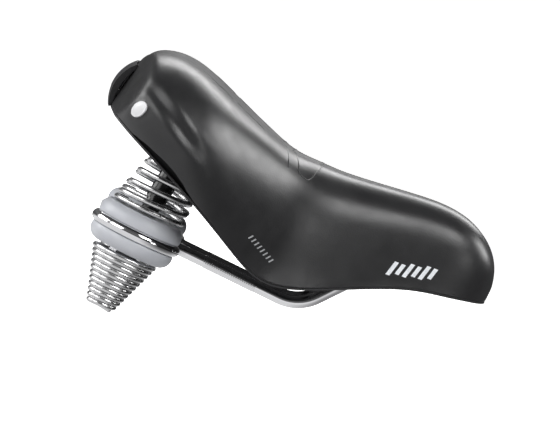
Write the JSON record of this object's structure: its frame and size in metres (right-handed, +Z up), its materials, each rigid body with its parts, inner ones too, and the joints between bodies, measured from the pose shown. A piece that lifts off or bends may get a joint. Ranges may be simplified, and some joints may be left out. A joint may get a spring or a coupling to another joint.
{
  "type": "bicycle saddle",
  "caption": "Padded black bicycle saddle on chromed wire rails, sprung at the rear by coil springs, rubber bushes and sliding guide posts, with a grab handle behind.",
  "frame": {"origin": "midway between the two rails, on the height of their axes, at the middle of the level clamp zone", "axes": "+X forward along the level rails to the nose, +Y to the rider's left, +Z up through the seat"},
  "size_m": [0.2566, 0.2312, 0.1527],
  "materials": {
    "chrome_wire": "polished chrome plate",
    "spring_chrome": "polished chrome plate",
    "elastomer_grey": "smooth satin, light blue-grey",
    "post_black": "satin black",
    "zinc_steel": "zinc plated",
    "shell_black": "fine textured",
    "handle_black": "satin moulded",
    "gel": "soft, translucent",
    "badge_silver": "satin silver",
    "screw_black": "black oxide",
    "foam": "moulded foam skin",
    "vinyl_black": "satin, fine grain"
  },
  "bodies": {
    "rails": {"rail_frame": "chrome_wire", "elastomer_left": "elastomer_grey", "elastomer_right": "elastomer_grey", "cone_spring_left": "spring_chrome", "cone_spring_right": "spring_chrome", "main_spring_left": "spring_chrome", "main_spring_right": "spring_chrome"},
    "post_left": {"guide_post_left": "post_black", "rebound_washer_left": "zinc_steel", "lock_nut_left": "zinc_steel"},
    "post_right": {"guide_post_right": "post_black", "rebound_washer_right": "zinc_steel", "lock_nut_right": "zinc_steel"},
    "seat": {"base_shell": "shell_black", "foam_pad": "foam", "cover": "vinyl_black", "gel_insert_left": "gel", "gel_insert_right": "gel", "rear_handle": "handle_black", "handle_screws": "screw_black", "badge_left": "badge_silver", "badge_right": "badge_silver", "nose_clip": "shell_black", "nose_clip_screws": "screw_black", "spring_cup_left": "shell_black", "spring_cup_right": "shell_black", "cup_bolts": "screw_black"}
  },
  "joints": [
    {"name": "seat_rock", "type": "hinge", "parent": "rails", "child": "seat", "pos_m": [0.118, 0, 0.058], "axis": [0, -1, 0], "range_deg": [0, 2.9], "stiffness_Nm_per_rad": 1300, "springref_deg": -0.69, "deforming": ["main_spring_left", "main_spring_right"]},
    {"name": "post_left_slide", "type": "slide", "parent": "rails", "child": "post_left", "axis": [-0.0924, 0, -0.9957], "range_m": [0, 0.0093]},
    {"name": "post_right_slide", "type": "slide", "parent": "rails", "child": "post_right", "axis": [-0.0924, 0, -0.9957], "range_m": [0, 0.0093]}
  ],
  "couplings": [
    {"joint": "post_left_slide", "follows": "seat_rock", "m_per_rad": 0.178},
    {"joint": "post_right_slide", "follows": "seat_rock", "m_per_rad": 0.178}
  ]
}
